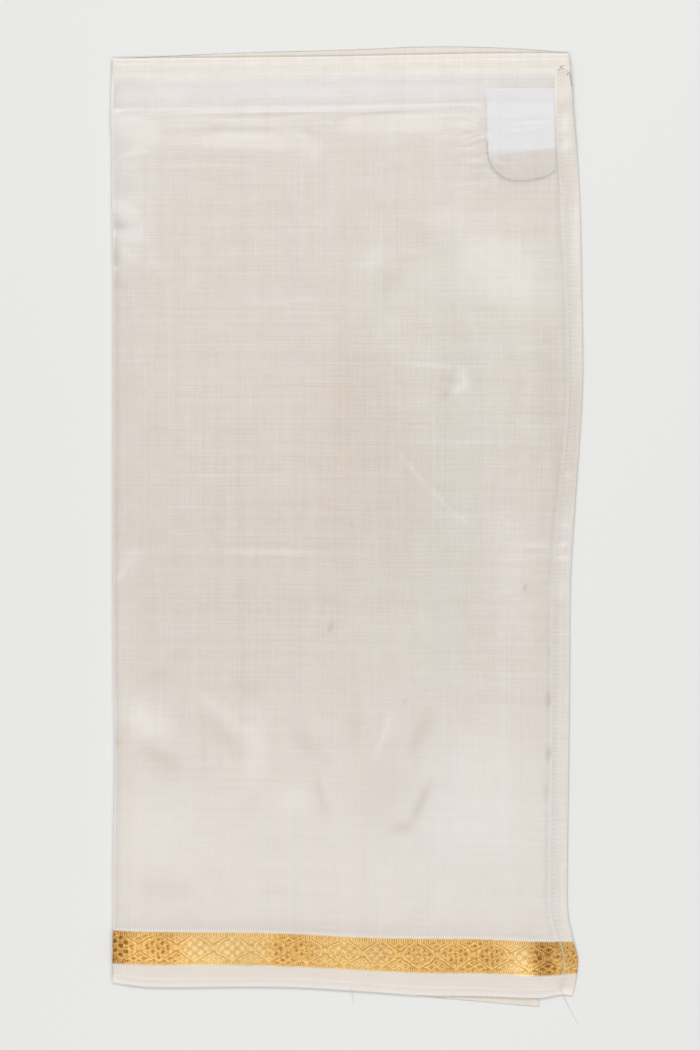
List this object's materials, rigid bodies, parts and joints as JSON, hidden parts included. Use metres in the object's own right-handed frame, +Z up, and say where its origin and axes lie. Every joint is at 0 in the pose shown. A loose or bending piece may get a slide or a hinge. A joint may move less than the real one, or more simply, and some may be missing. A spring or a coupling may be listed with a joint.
{
  "type": "dhoti cloth",
  "caption": "Long silk wrap cloth folded into a flat rectangle, with stitched hems, a gold-thread border along its lower edge, a plain selvedge and a blank care label.",
  "frame": {"origin": "under the middle of the outline, on the surface that the cloth lies on", "axes": "+Z up from that surface, +Y along the length towards the stitched upper hem, +X towards the hemmed cut end"},
  "size_m": [0.3208, 0.6525, 0.0068],
  "materials": {
    "silk": "cream raw silk, slubbed plain weave",
    "hem_silk": "cream raw silk turned under twice and stitched",
    "zari": "gold zari weave with a flower and lattice pattern",
    "label_satin": "white woven tape, blank"
  },
  "bodies": {
    "root": {"ground_cloth": "silk", "selvedge": "silk", "folded_layers": "silk", "under_ground": "silk", "under_selvedge": "silk", "upper_hem": "hem_silk", "side_hem": "hem_silk", "under_hem": "hem_silk", "zari_border": "zari", "under_border": "zari", "care_label": "label_satin"}
  },
  "joints": []
}
